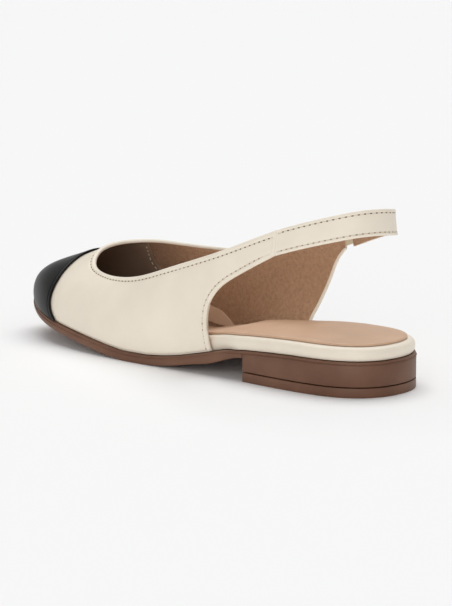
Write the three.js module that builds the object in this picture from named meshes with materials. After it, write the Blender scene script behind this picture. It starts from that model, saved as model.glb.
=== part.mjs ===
// A sling back flat for the left foot, in millimetres. +Y runs from the heel to the toe,
// +X to the inner side of the foot and +Z up. The origin is the middle of the heel's
// resting face on the floor.
import * as THREE from "three";

// Sizes of the whole shoe
const shoeLength = 251; // back of the heel to the toe tip
const ballWidth = 77; // across the widest part of the forefoot
const backHeight = 86; // floor to the strap's upper edge at the back

// Sizes of the sole and heel
const heelLength = 73; // back of the heel to its front face
const heelRise = 16.9; // floor to the top of the outsole over the heel
const outsoleThickness = 4.2; // under the forefoot
const heelPlate = 1.5; // outsole where it covers the heel block
const liftThickness = 4.6; // wearing piece under the heel block
const grooveWidth = 0.5; // open line between lift and heel block
const soleMargin = 1.6; // outsole edge beyond the foot of the upper
const heelInset = 0.4; // heel block inside the outsole edge

// Sizes of the footbed and sock
const footbedHeight = 6.3; // wrapped band above the outsole
const footbedInset = 1.4; // its foot inside the outsole edge
const bandBulge = 0.6; // how far the band swells beyond its foot
const edgeRound = 2.4; // rounding of the band's upper edge
const sockThickness = 1.1;
const sockMargin = 3.2; // bare band left round the sock

// Sizes of the upper, strap and toe cap
const wall = 1.8; // leather and lining together
const strapWidth = 12.4;
const strapWall = 2.1;
const strapProud = 0.1; // strap outside the form
const elasticWidth = 10.6;
const elasticWall = 1.2;
const elasticSunk = 0.3; // elastic inside the form
const capWall = 1.0;
const ribHandle = 20; // unit of the rib table's four shape columns

// Clearances between neighbours
const seatGap = 0.3; // pieces that rest on each other
const buttGap = 0.3; // pieces that meet end to end
const capGap = 0.35; // toe cap over the vamp
const capLift = 0.02; // share of the rib left free under the toe cap
const footbedTuck = soleMargin + wall + 2 * seatGap + bandBulge - footbedInset;

// Edges and facets of the sole pieces
const edgeBevel = 0.4;
const endShare = 0.09; // share of the length cut into closer rows at each rounded end
const soleRow = 6.5; // spacing of the rows between the ends
const heelRow = 8;
const endZone = endShare * shoeLength;

// Ribs of the shoe's form, from the back centre along the outer side to the toe and
// back along the inner side. The foot of a rib stands on the sole, its head lies on the
// upper edge. Across is a share of ballWidth, along of shoeLength, height of backHeight;
// rise, bulge, spread and drop are shares of ribHandle.
const ribColumns = ["footX", "footY", "headX", "headY", "headZ", "rise", "bulge", "spread", "drop"];
const ribs = [
  [0.0, 0.006, 0.0, 0.042, 1.003, 1.0, 0.05, 0.02, 1.0],
  [-0.214, 0.024, -0.156, 0.056, 1.005, 1.0, 0.05, 0.02, 1.0],
  [-0.343, 0.08, -0.266, 0.092, 0.98, 1.0, 0.05, 0.04, 1.0],
  [-0.382, 0.159, -0.327, 0.149, 0.933, 1.0, 0.05, 0.05, 1.0],
  [-0.384, 0.239, -0.361, 0.213, 0.874, 1.0, 0.05, 0.06, 1.0],
  [-0.377, 0.319, -0.382, 0.279, 0.801, 0.9, 0.08, 0.08, 0.9],
  [-0.384, 0.398, -0.39, 0.351, 0.72, 0.8, 0.1, 0.1, 0.8],
  [-0.405, 0.486, -0.387, 0.43, 0.641, 0.7, 0.12, 0.12, 0.7],
  [-0.415, 0.574, -0.364, 0.51, 0.565, 0.6, 0.12, 0.18, 0.6],
  [-0.41, 0.661, -0.322, 0.59, 0.495, 0.55, 0.12, 0.26, 0.5],
  [-0.382, 0.745, -0.26, 0.669, 0.459, 0.5, 0.12, 0.38, 0.4],
  [-0.32, 0.838, -0.169, 0.741, 0.454, 0.56, 0.12, 0.6, 0.36],
  [-0.198, 0.923, -0.088, 0.786, 0.483, 0.68, 0.13, 0.78, 0.42],
  [0.045, 0.995, 0.034, 0.81, 0.54, 0.8, 0.14, 1.0, 0.46],
  [0.28, 0.97, 0.172, 0.807, 0.576, 0.76, 0.14, 0.85, 0.45],
  [0.43, 0.892, 0.281, 0.779, 0.592, 0.66, 0.13, 0.65, 0.43],
  [0.508, 0.811, 0.351, 0.728, 0.599, 0.6, 0.12, 0.5, 0.45],
  [0.541, 0.725, 0.396, 0.66, 0.593, 0.65, 0.12, 0.4, 0.55],
  [0.527, 0.637, 0.416, 0.588, 0.592, 0.7, 0.12, 0.3, 0.65],
  [0.462, 0.546, 0.416, 0.516, 0.6, 0.75, 0.12, 0.2, 0.7],
  [0.365, 0.454, 0.404, 0.442, 0.633, 0.8, 0.22, 0.2, 0.75],
  [0.315, 0.371, 0.388, 0.367, 0.69, 0.85, 0.34, 0.24, 0.8],
  [0.325, 0.291, 0.37, 0.291, 0.765, 0.9, 0.4, 0.24, 0.9],
  [0.358, 0.211, 0.35, 0.219, 0.843, 1.0, 0.3, 0.12, 1.0],
  [0.369, 0.143, 0.317, 0.157, 0.91, 1.0, 0.05, 0.05, 1.0],
  [0.338, 0.076, 0.255, 0.1, 0.962, 1.0, 0.05, 0.04, 1.0],
  [0.208, 0.024, 0.148, 0.057, 0.985, 1.0, 0.05, 0.02, 1.0],
];
const toeRib = 13; // the rib at the toe tip

// Underside of the outsole: height as a share of heelRise, along as a share of shoeLength.
// The two zero rows are the flat the forefoot rests on.
const underside = [
  { along: 0.0, height: 0.72 },
  { along: 0.29, height: 0.686 },
  { along: 0.305, height: 0.665 },
  { along: 0.328, height: 0.59 },
  { along: 0.351, height: 0.475 },
  { along: 0.375, height: 0.362 },
  { along: 0.4, height: 0.292 },
  { along: 0.425, height: 0.235 },
  { along: 0.45, height: 0.165 },
  { along: 0.486, height: 0.085 },
  { along: 0.53, height: 0.018 },
  { along: 0.55, height: 0.0 },
  { along: 0.6, height: 0.0 },
  { along: 0.635, height: 0.045 },
  { along: 0.689, height: 0.145 },
  { along: 0.749, height: 0.265 },
  { along: 0.845, height: 0.487 },
  { along: 0.936, height: 0.785 },
  { along: 1.0, height: 1.06 },
];
// Outsole thickness along the shoe, as a share of outsoleThickness
const soleTaper = [
  { along: 0.0, share: 0.98 },
  { along: 0.16, share: 0.98 },
  { along: 0.23, share: 0.86 },
  { along: 0.28, share: 0.7 },
  { along: 0.303, share: 0.64 },
  { along: 0.327, share: 0.8 },
  { along: 0.351, share: 1.08 },
  { along: 0.375, share: 1.24 },
  { along: 0.4, share: 1.2 },
  { along: 0.425, share: 1.13 },
  { along: 0.5, share: 1.08 },
  { along: 0.72, share: 1.05 },
  { along: 0.86, share: 0.86 },
  { along: 1.0, share: 0.52 },
];

// Footbed height, which fills the waist and thins out where it lies inside the upper
const footbedTaper = [
  { along: 0.0, share: 1.0 },
  { along: 0.28, share: 1.03 },
  { along: 0.33, share: 1.06 },
  { along: 0.375, share: 1.2 },
  { along: 0.4, share: 1.28 },
  { along: 0.455, share: 1.1 },
  { along: 0.5, share: 1.0 },
  { along: 0.55, share: 0.72 },
  { along: 0.575, share: 0.47 },
  { along: 0.6, share: 0.32 },
  { along: 0.65, share: 0.25 },
  { along: 1.0, share: 0.22 },
];

// Rear edges of the upper, from the strap down to the sole: along as a share of
// shoeLength, height of backHeight. The last row stands on the sole.
const outerRearEdge = [
  { along: 0.263, height: 0.66 },
  { along: 0.304, height: 0.595 },
  { along: 0.339, height: 0.533 },
  { along: 0.363, height: 0.468 },
  { along: 0.378, height: 0.396 },
  { along: 0.384, height: 0.322 },
  { along: 0.385, height: 0.25 },
  { along: 0.379, height: 0.0 },
];
const innerRearEdge = [
  { along: 0.241, height: 0.66 },
  { along: 0.257, height: 0.605 },
  { along: 0.27, height: 0.535 },
  { along: 0.281, height: 0.465 },
  { along: 0.292, height: 0.395 },
  { along: 0.302, height: 0.325 },
  { along: 0.311, height: 0.255 },
  { along: 0.316, height: 0.0 },
];

// Rear edge of the toe cap: station on the rib list and share of the way up the rib.
const capEdge = [
  { station: 10.8, up: 0.0 },
  { station: 11.08, up: 0.15 },
  { station: 11.38, up: 0.33 },
  { station: 11.72, up: 0.5 },
  { station: 12.13, up: 0.64 },
  { station: 12.64, up: 0.765 },
  { station: 13.26, up: 0.82 },
  { station: 13.9, up: 0.78 },
  { station: 14.45, up: 0.64 },
  { station: 14.95, up: 0.47 },
  { station: 15.35, up: 0.28 },
  { station: 15.6, up: 0.12 },
  { station: 15.7, up: 0.0 },
];

// Where the strap meets the upper, as shares of shoeLength
const outerJoint = 0.216;
const innerJoint = 0.208;
const elasticEnd = 0.23;

// Cubic spline through evenly counted values, closed or open
function spline(values, closed) {
  const count = values.length;
  const bend = new Array(count).fill(0);
  for (let sweep = 0; sweep < 60; sweep += 1) {
    for (let i = 0; i < count; i += 1) {
      if (!closed && (i === 0 || i === count - 1)) continue;
      const before = (i + count - 1) % count;
      const after = (i + 1) % count;
      const curve = values[after] - 2 * values[i] + values[before];
      bend[i] = (6 * curve - bend[before] - bend[after]) / 4;
    }
  }
  return (at) => {
    const last = closed ? count : count - 1;
    const place = closed ? ((at % count) + count) % count : Math.min(Math.max(at, 0), last);
    const i = Math.min(Math.floor(place), last - 1);
    const j = (i + 1) % count;
    const t = place - i;
    const s = 1 - t;
    const straight = values[i] * s + values[j] * t;
    return straight + ((s ** 3 - s) * bend[i] + (t ** 3 - t) * bend[j]) / 6;
  };
}

// Smooth level through a table without overshoot, so that flats stay flat
function level(rows, key) {
  const x = rows.map((row) => row.along * shoeLength);
  const y = rows.map((row) => row[key]);
  const last = x.length - 1;
  const slope = [];
  for (let i = 0; i < last; i += 1) {
    slope.push((y[i + 1] - y[i]) / (x[i + 1] - x[i]));
  }
  const tangent = [slope[0]];
  for (let i = 1; i < last; i += 1) {
    const product = slope[i - 1] * slope[i];
    tangent.push(product <= 0 ? 0 : (2 * product) / (slope[i - 1] + slope[i]));
  }
  tangent.push(slope[last - 1]);
  return (at) => {
    if (at <= x[0]) return y[0] + tangent[0] * (at - x[0]);
    if (at >= x[last]) return y[last] + tangent[last] * (at - x[last]);
    let i = 0;
    while (x[i + 1] < at) i += 1;
    const h = x[i + 1] - x[i];
    const t = (at - x[i]) / h;
    const s = 1 - t;
    const ends = (1 + 2 * t) * s * s * y[i] + t * t * (3 - 2 * t) * y[i + 1];
    return ends + t * s * h * (s * tangent[i] - t * tangent[i + 1]);
  };
}

const rib = {};
ribColumns.forEach((key, column) => {
  const unit = { X: ballWidth, Y: shoeLength, Z: backHeight }[key.slice(-1)] ?? ribHandle;
  rib[key] = spline(ribs.map((row) => row[column] * unit), true);
});
const undersideShare = level(underside, "height");
const taper = level(soleTaper, "share");
const footbedShare = level(footbedTaper, "share");

function soleBottom(y) {
  return undersideShare(y) * heelRise;
}

function soleTop(y) {
  const thickness = outsoleThickness * taper(y);
  const heelStep = heelRise - soleBottom(0) - outsoleThickness * taper(0);
  return soleBottom(y) + thickness + heelStep * heelShare(y);
}

// One over the heel, falling to zero under the waist
function heelShare(y) {
  const t = Math.min(Math.max((y - heelLength) / (0.2 * shoeLength), 0), 1);
  return 1 - t * t * (3 - 2 * t);
}

// Outward direction in plan of the curve of rib feet or rib heads
function outward(u, end) {
  const step = 0.02;
  const dx = rib[`${end}X`](u + step) - rib[`${end}X`](u - step);
  const dy = rib[`${end}Y`](u + step) - rib[`${end}Y`](u - step);
  const size = Math.hypot(dx, dy);
  return [-dy / size, dx / size];
}

// Point of the shoe's outer form at station u, share v of the way up the rib
function form(u, v) {
  const foot = [rib.footX(u), rib.footY(u), soleTop(rib.footY(u)) + seatGap];
  const head = [rib.headX(u), rib.headY(u), rib.headZ(u)];
  const footOut = outward(u, "foot");
  const headOut = outward(u, "head");
  const low = [footOut[0] * rib.bulge(u), footOut[1] * rib.bulge(u), rib.rise(u)];
  const high = [headOut[0] * rib.spread(u), headOut[1] * rib.spread(u), -rib.drop(u)];
  const s = 1 - v;
  return [0, 1, 2].map(
    (k) =>
      s * s * s * foot[k] +
      3 * s * s * v * (foot[k] + low[k]) +
      3 * s * v * v * (head[k] + high[k]) +
      v * v * v * head[k],
  );
}

// The same point moved off the form along its outward normal
function offForm(u, v, distance) {
  const step = 0.01;
  const point = form(u, v);
  const below = Math.max(v - step, 0);
  const above = Math.min(v + step, 1);
  const along = form(u + step, v).map((value, k) => value - form(u - step, v)[k]);
  const up = form(u, above).map((value, k) => value - form(u, below)[k]);
  const normal = new THREE.Vector3(...up).cross(new THREE.Vector3(...along)).normalize();
  return [
    point[0] + normal.x * distance,
    point[1] + normal.y * distance,
    point[2] + normal.z * distance,
  ];
}

// Station and share of the point of the form at a given length and height
function findOnForm(y, z, start) {
  let [u, v] = start;
  const step = 0.001;
  for (let turn = 0; turn < 20; turn += 1) {
    const here = form(u, v);
    const alongU = form(u + step, v);
    const alongV = form(u, v + step);
    const a = (alongU[1] - here[1]) / step;
    const b = (alongV[1] - here[1]) / step;
    const c = (alongU[2] - here[2]) / step;
    const d = (alongV[2] - here[2]) / step;
    const det = a * d - b * c;
    const missY = y - here[1];
    const missZ = z - here[2];
    u += (d * missY - b * missZ) / det;
    v = Math.min(Math.max(v + (a * missZ - c * missY) / det, 0), 1);
  }
  return [u, v];
}

// Value between low and high at which a rising function reaches a target
function reach(rising, target, low, high) {
  let [a, b] = [low, high];
  for (let turn = 0; turn < 40; turn += 1) {
    const middle = (a + b) / 2;
    if (rising(middle) < target) a = middle;
    else b = middle;
  }
  return (a + b) / 2;
}

// Share of the rib at which a band of the given width under the upper edge ends
function bandFoot(u, bandWidth) {
  const head = new THREE.Vector3(...form(u, 1));
  const depth = (v) => -head.distanceTo(new THREE.Vector3(...form(u, v)));
  return reach(depth, -bandWidth, 0.2, 1);
}

// Station of the outer or inner side where the upper edge has the given length
function headStation(y, side) {
  if (side === "outer") return reach(rib.headY, y, 0.5, toeRib - 1);
  return reach((u) => -rib.headY(u), -y, toeRib + 2, ribs.length - 0.5);
}

function footStation(y, side) {
  if (side === "outer") return reach(rib.footY, y, 0.5, toeRib - 1);
  return reach((u) => -rib.footY(u), -y, toeRib + 2, ribs.length - 0.5);
}

// Closed solid from a triangle list over points, shared corners joined
class Builder {
  constructor() {
    this.points = [];
    this.faces = [];
    this.keys = new Map();
  }

  point(p) {
    const key = p.map((value) => Math.round(value * 1e4)).join();
    if (!this.keys.has(key)) {
      this.keys.set(key, this.points.length / 3);
      this.points.push(p[0], p[1] - heelLength / 2, p[2]);
    }
    return this.keys.get(key);
  }

  triangle(a, b, c) {
    if (a !== b && b !== c && c !== a) this.faces.push(a, b, c);
  }

  // Four corners in turn, seen from outside against the clock
  quad(a, b, c, d) {
    this.triangle(a, b, c);
    this.triangle(a, c, d);
  }

  mesh(name, look) {
    const geometry = new THREE.BufferGeometry();
    geometry.setAttribute("position", new THREE.Float32BufferAttribute(this.points, 3));
    geometry.setIndex(this.faces);
    geometry.computeVertexNormals();
    const mesh = new THREE.Mesh(geometry, new THREE.MeshStandardMaterial(look));
    mesh.name = name;
    mesh.material.name = name;
    return mesh;
  }
}

// Shell between two offsets of the form. Columns run from a foot point to a head point,
// both given as station and share; the offsets count outward from the form.
function shell(name, look, columns, rows, outerOffset, innerOffset) {
  const solid = new Builder();
  const skin = (offset) =>
    columns.map(([foot, head]) => {
      const line = [];
      for (let row = 0; row <= rows; row += 1) {
        const t = row / rows;
        const u = foot[0] + (head[0] - foot[0]) * t;
        const v = foot[1] + (head[1] - foot[1]) * t;
        line.push(solid.point(offForm(u, v, offset)));
      }
      return line;
    });
  const outer = skin(outerOffset);
  const inner = skin(innerOffset);
  const last = columns.length - 1;
  for (let i = 0; i < last; i += 1) {
    for (let j = 0; j < rows; j += 1) {
      solid.quad(outer[i][j], outer[i][j + 1], outer[i + 1][j + 1], outer[i + 1][j]);
      solid.quad(inner[i][j], inner[i + 1][j], inner[i + 1][j + 1], inner[i][j + 1]);
    }
    solid.quad(outer[i][0], outer[i + 1][0], inner[i + 1][0], inner[i][0]);
    solid.quad(outer[i][rows], inner[i][rows], inner[i + 1][rows], outer[i + 1][rows]);
  }
  for (let j = 0; j < rows; j += 1) {
    solid.quad(outer[0][j], inner[0][j], inner[0][j + 1], outer[0][j + 1]);
    solid.quad(outer[last][j], outer[last][j + 1], inner[last][j + 1], inner[last][j]);
  }
  return solid.mesh(name, look);
}

// Points of one edge of the cut-out, from the strap to the sole, as station and share
function rearEdge(rows, side, start, count) {
  const first = form(start[0], start[1]);
  const along = [first[1], ...rows.map((row) => row.along * shoeLength)];
  const height = [first[2], ...rows.map((row) => row.height * backHeight)];
  const footU = footStation(along[along.length - 1], side);
  height[height.length - 1] = form(footU, 0)[2];
  const alongAt = spline(along, false);
  const heightAt = spline(height, false);
  const points = [start];
  let guess = start;
  for (let i = 1; i < count; i += 1) {
    const at = ((along.length - 1) * i) / count;
    guess = findOnForm(alongAt(at), heightAt(at), guess);
    points.push(guess);
  }
  points.push([footU, 0]);
  return points;
}

// Columns of the upper: the foot runs down one rear edge, round the sole and up the other
function upperColumns() {
  const edgeCount = 12;
  const soleCount = 58;
  const outerU = headStation(outerJoint * shoeLength + buttGap / 2, "outer");
  const innerU = headStation(elasticEnd * shoeLength + buttGap / 2, "inner");
  const outerStart = [outerU, bandFoot(outerU, strapWidth)];
  const innerStart = [innerU, bandFoot(innerU, strapWidth)];
  const outerFeet = rearEdge(outerRearEdge, "outer", outerStart, edgeCount);
  const innerFeet = rearEdge(innerRearEdge, "inner", innerStart, edgeCount);
  const feet = [...outerFeet];
  const startU = outerFeet[edgeCount][0];
  const endU = innerFeet[edgeCount][0];
  for (let i = 1; i < soleCount; i += 1) {
    feet.push([startU + ((endU - startU) * i) / soleCount, 0]);
  }
  feet.push(...innerFeet.reverse());
  // Heads are shared out along the upper edge as the feet are along theirs
  const run = [0];
  for (let i = 1; i < feet.length; i += 1) {
    const a = new THREE.Vector3(...form(...feet[i - 1]));
    run.push(run[i - 1] + a.distanceTo(new THREE.Vector3(...form(...feet[i]))));
  }
  const headRun = [0];
  const fine = 400;
  for (let i = 1; i <= fine; i += 1) {
    const at = (k) => new THREE.Vector3(...form(outerU + ((innerU - outerU) * k) / fine, 1));
    headRun.push(headRun[i - 1] + at(i - 1).distanceTo(at(i)));
  }
  return feet.map((foot, i) => {
    const target = (run[i] / run[run.length - 1]) * headRun[fine];
    let k = 0;
    while (k < fine - 1 && headRun[k + 1] < target) k += 1;
    const t = (target - headRun[k]) / (headRun[k + 1] - headRun[k]);
    return [foot, [outerU + ((innerU - outerU) * (k + t)) / fine, 1]];
  });
}

// Columns of a band under the upper edge between two stations
function bandColumns(fromU, toU, bandWidth, count) {
  const columns = [];
  for (let i = 0; i <= count; i += 1) {
    const u = fromU + ((toU - fromU) * i) / count;
    columns.push([[u, bandFoot(u, bandWidth)], [u, 1]]);
  }
  return columns;
}

function capColumns(count) {
  const stationAt = spline(capEdge.map((row) => row.station), false);
  const upAt = spline(capEdge.map((row) => row.up), false);
  const first = capEdge[0].station;
  const final = capEdge[capEdge.length - 1].station;
  const columns = [];
  for (let i = 0; i <= count; i += 1) {
    const at = ((capEdge.length - 1) * i) / count;
    const foot = first + ((final - first) * i) / count;
    columns.push([[foot, capLift], [stationAt(at), Math.max(upAt(at), capLift)]]);
  }
  return columns.slice(1, -1);
}

// Plan outline a given inset inside the outsole edge: its two ends and the outer and
// inner edge at any length between them
function outline(inset) {
  const edge = (u) => {
    const [x, y] = outward(u, "foot");
    const out = soleMargin - (typeof inset === "number" ? inset : inset(u));
    return [rib.footX(u) + x * out, rib.footY(u) + y * out];
  };
  const turn = (middle, sign) => {
    let [a, b] = [middle - 1.5, middle + 1.5];
    for (let k = 0; k < 50; k += 1) {
      const left = a + (b - a) / 3;
      const right = b - (b - a) / 3;
      if (sign * edge(left)[1] > sign * edge(right)[1]) b = right;
      else a = left;
    }
    return (a + b) / 2;
  };
  const backU = turn(0, -1);
  const toeU = turn(toeRib, 1);
  const back = edge(backU);
  const toe = edge(toeU);
  const sides = (y) => {
    if (y <= back[1] + 1e-6) return [back[0], back[0]];
    if (y >= toe[1] - 1e-6) return [toe[0], toe[0]];
    const outerU = reach((u) => edge(u)[1], y, backU, toeU);
    const innerU = reach((u) => -edge(u)[1], -y, toeU, backU + ribs.length);
    return [edge(outerU)[0], edge(innerU)[0]];
  };
  return { back: back[1], toe: toe[1], sides };
}

// Lengths at which a sole piece is cut into rows, closer together at rounded ends.
// The ends follow the outline's own ends; the middle rows keep their places.
function rowLengths(shape, front, middleRows) {
  const endRows = 7;
  const lengths = [];
  for (let i = 0; i < endRows; i += 1) {
    const share = 1 - Math.cos((Math.PI / 2) * (i / endRows));
    lengths.push(shape.back + (endZone - shape.back) * share);
  }
  lengths.push(endZone, ...middleRows.filter((y) => y > endZone));
  if (front === null) {
    const start = shoeLength - endZone;
    lengths.push(start);
    for (let i = endRows - 1; i >= 0; i -= 1) {
      const share = 1 - Math.cos((Math.PI / 2) * (i / endRows));
      lengths.push(shape.toe - (shape.toe - start) * share);
    }
  } else {
    lengths.push(front);
  }
  return lengths;
}

// Evenly spaced lengths strictly between two bounds
function between(from, to, spacing) {
  const count = Math.max(Math.round((to - from) / spacing), 1);
  const lengths = [];
  for (let i = 1; i < count; i += 1) lengths.push(from + ((to - from) * i) / count);
  return lengths;
}

// Flat piece cut to the sole's outline. Layers run from the bottom to the top: each has
// an inset and a height rule of length y. The first and last layer are closed across.
function slab(name, look, layers, front, middleRows, across) {
  const solid = new Builder();
  const sheets = layers.map(({ inset, height }) => {
    const shape = outline(inset);
    return rowLengths(shape, front, middleRows).map((y, row) => {
      const [outerX, innerX] = shape.sides(y);
      const line = [];
      for (let i = 0; i <= across; i += 1) {
        line.push(solid.point([outerX + ((innerX - outerX) * i) / across, y, height(y, row)]));
      }
      return line;
    });
  });
  const cover = (sheet, upward) => {
    for (let r = 0; r < sheet.length - 1; r += 1) {
      for (let i = 0; i < across; i += 1) {
        const corners = [sheet[r][i], sheet[r][i + 1], sheet[r + 1][i + 1], sheet[r + 1][i]];
        if (!upward) corners.reverse();
        solid.quad(...corners);
      }
    }
  };
  cover(sheets[0], false);
  cover(sheets[sheets.length - 1], true);
  const rim = (sheet) => [
    ...sheet.map((line) => line[across]),
    ...sheet[sheet.length - 1].slice(1, across).reverse(),
    ...sheet.map((line) => line[0]).reverse(),
  ];
  for (let k = 0; k < sheets.length - 1; k += 1) {
    const low = rim(sheets[k]);
    const high = rim(sheets[k + 1]);
    for (let i = 0; i < low.length; i += 1) {
      const next = (i + 1) % low.length;
      solid.quad(low[i], low[next], high[next], high[i]);
    }
  }
  return solid.mesh(name, look);
}

const leather = { color: 0xe6dfcf, roughness: 0.5, metalness: 0 };
const blackLeather = { color: 0x15150f, roughness: 0.35, metalness: 0 };
const brownRubber = { color: 0x6b4f3f, roughness: 0.6, metalness: 0 };
const tanLining = { color: 0xc49c7c, roughness: 0.65, metalness: 0 };
const elasticWeave = { color: 0xd8cfae, roughness: 0.8, metalness: 0 };

// Outsole: thin over the heel block, full thickness from the heel's front face on
function outsole() {
  const step = heelLength + buttGap;
  const back = step - 0.05;
  const under = (y) => (y < step - 0.01 ? soleTop(y) - heelPlate : soleBottom(y));
  const line = 1.2;
  const lower = (y) => under(y) + (y < step - 0.01 ? edgeBevel * 0.5 : edgeBevel);
  const seam = (y) => Math.max(soleTop(y) - line, lower(y));
  const flat = underside.filter((row) => row.height === 0);
  const [restFrom, restTo] = flat.map((row) => row.along * shoeLength);
  const rows = [
    ...between(endZone, back, heelRow),
    back,
    step,
    ...between(step, restFrom, soleRow),
    restFrom,
    restTo,
    ...between(restTo, shoeLength - endZone, soleRow),
  ];
  const layers = [
    { inset: edgeBevel, height: under },
    { inset: 0, height: lower },
    { inset: 0, height: (y) => seam(y) + 0.01 },
    { inset: 0.5, height: (y) => soleTop(y) - 0.3 },
    { inset: 0.8, height: soleTop },
  ];
  return slab("outsole", brownRubber, layers, null, rows, 4);
}

function heelBlock() {
  const top = (y) => soleTop(y) - heelPlate - seatGap;
  const bottom = () => liftThickness + grooveWidth;
  const layers = [
    { inset: heelInset + edgeBevel, height: bottom },
    { inset: heelInset, height: () => bottom() + edgeBevel },
    { inset: heelInset, height: top },
  ];
  return slab("heel_block", brownRubber, layers, heelLength, between(endZone, heelLength, heelRow), 4);
}

function topLift() {
  const layers = [
    { inset: heelInset + edgeBevel, height: () => 0 },
    { inset: heelInset, height: () => edgeBevel },
    { inset: heelInset, height: () => liftThickness - edgeBevel },
    { inset: heelInset + edgeBevel, height: () => liftThickness },
  ];
  return slab("top_lift", brownRubber, layers, heelLength, between(endZone, heelLength, heelRow), 4);
}

// Extra inset of the footbed where it runs inside the upper, by station
function tuck(u) {
  const station = ((u % ribs.length) + ribs.length) % ribs.length;
  const ease = (t) => {
    const s = Math.min(Math.max(t, 0), 1);
    return s * s * (3 - 2 * s);
  };
  const outerStart = footStation(0.3 * shoeLength, "outer");
  const outerFull = footStation(0.365 * shoeLength, "outer");
  const innerFull = footStation(0.29 * shoeLength, "inner");
  const innerStart = footStation(0.225 * shoeLength, "inner");
  const enter = ease((station - outerStart) / (outerFull - outerStart));
  const leave = ease((innerStart - station) / (innerStart - innerFull));
  return footbedTuck * Math.min(enter, leave);
}

function footbed() {
  const base = (y) => soleTop(y) + seatGap;
  const inset = (extra) => (u) => footbedInset + extra + tuck(u);
  const height = (share) => (y) => {
    return base(y) + (footbedHeight - edgeRound * share) * footbedShare(y);
  };
  const layers = [
    { inset: inset(0.3), height: base },
    { inset: inset(0), height: (y) => base(y) + 0.8 * footbedShare(y) },
    { inset: inset(-bandBulge), height: (y) => base(y) + footbedHeight * 0.45 * footbedShare(y) },
    { inset: inset(-bandBulge * 0.8), height: height(0.75) },
    { inset: inset(0.2), height: height(0.3) },
    { inset: inset(edgeRound * 0.55), height: height(0.05) },
    { inset: inset(edgeRound), height: height(0) },
  ];
  const rows = between(endZone, shoeLength - endZone, soleRow);
  return slab("footbed", leather, layers, null, rows, 4);
}

function insoleSock() {
  const base = (y) => soleTop(y) + footbedHeight * footbedShare(y) + 2 * seatGap;
  const inset = (extra) => (u) => footbedInset + sockMargin + extra + tuck(u) * 0.6;
  const layers = [
    { inset: inset(0), height: base },
    { inset: inset(0), height: (y) => base(y) + sockThickness * 0.6 },
    { inset: inset(0.5), height: (y) => base(y) + sockThickness },
  ];
  const rows = between(endZone, shoeLength - endZone, soleRow);
  return slab("insole_sock", tanLining, layers, null, rows, 4);
}

function upper() {
  return shell("upper", leather, upperColumns(), 14, 0, -wall);
}

function toeCap() {
  return shell("toe_cap", blackLeather, capColumns(32), 10, capGap + capWall, capGap);
}

function heelStrap() {
  const from = headStation(innerJoint * shoeLength - buttGap / 2, "inner") - ribs.length;
  const to = headStation(outerJoint * shoeLength - buttGap / 2, "outer");
  const columns = bandColumns(from, to, strapWidth, 40);
  return shell("heel_strap", leather, columns, 2, strapProud, strapProud - strapWall);
}

function elasticGore() {
  const from = headStation(elasticEnd * shoeLength - buttGap / 2, "inner");
  const to = headStation(innerJoint * shoeLength + buttGap / 2, "inner");
  const columns = bandColumns(from, to, elasticWidth, 4);
  return shell("elastic_gore", elasticWeave, columns, 3, -elasticSunk, -elasticSunk - elasticWall);
}

const shoe = new THREE.Group();
shoe.name = "sling_back_flat";
shoe.add(outsole());
shoe.add(heelBlock());
shoe.add(topLift());
shoe.add(footbed());
shoe.add(insoleSock());
shoe.add(upper());
shoe.add(toeCap());
shoe.add(heelStrap());
shoe.add(elasticGore());

export default shoe;
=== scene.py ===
"""Dressed model of a sling back flat for the left foot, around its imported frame.

Metres. +Y runs from the heel to the toe, +X to the inner side of the foot and +Z up.
"""

import math

import bpy
import numpy as np
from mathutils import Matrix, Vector


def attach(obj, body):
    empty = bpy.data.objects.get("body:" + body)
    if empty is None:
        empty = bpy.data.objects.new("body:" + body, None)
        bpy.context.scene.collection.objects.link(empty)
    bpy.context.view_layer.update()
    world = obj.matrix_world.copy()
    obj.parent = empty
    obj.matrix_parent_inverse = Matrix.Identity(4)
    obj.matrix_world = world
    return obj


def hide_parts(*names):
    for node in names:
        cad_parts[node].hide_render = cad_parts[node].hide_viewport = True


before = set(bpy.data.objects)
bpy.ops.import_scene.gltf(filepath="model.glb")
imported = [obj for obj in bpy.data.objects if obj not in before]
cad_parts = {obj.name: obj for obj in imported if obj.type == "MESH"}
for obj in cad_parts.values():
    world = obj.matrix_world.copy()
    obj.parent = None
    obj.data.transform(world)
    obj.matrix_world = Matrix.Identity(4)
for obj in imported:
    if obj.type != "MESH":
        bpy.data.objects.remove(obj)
bpy.ops.object.select_all(action="DESELECT")
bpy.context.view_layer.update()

# Sizes of the whole shoe
SHOE_LENGTH = 0.251
BALL_WIDTH = 0.077
BACK_HEIGHT = 0.086
RIB_HANDLE = 0.020

# Sizes of the sole and heel
HEEL_LENGTH = 0.073
HEEL_RISE = 0.0169
OUTSOLE_THICKNESS = 0.0042
HEEL_PLATE = 0.0015
LIFT_THICKNESS = 0.0046
GROOVE_WIDTH = 0.0005
SOLE_MARGIN = 0.0016
HEEL_INSET = 0.00025
END_ZONE = 0.09 * SHOE_LENGTH

# Sizes of the footbed and sock
FOOTBED_HEIGHT = 0.0063
FOOTBED_INSET = 0.0014
BAND_BULGE = 0.0006
EDGE_ROUND = 0.0024
SOCK_THICKNESS = 0.0011
SOCK_MARGIN = 0.0032

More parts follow.
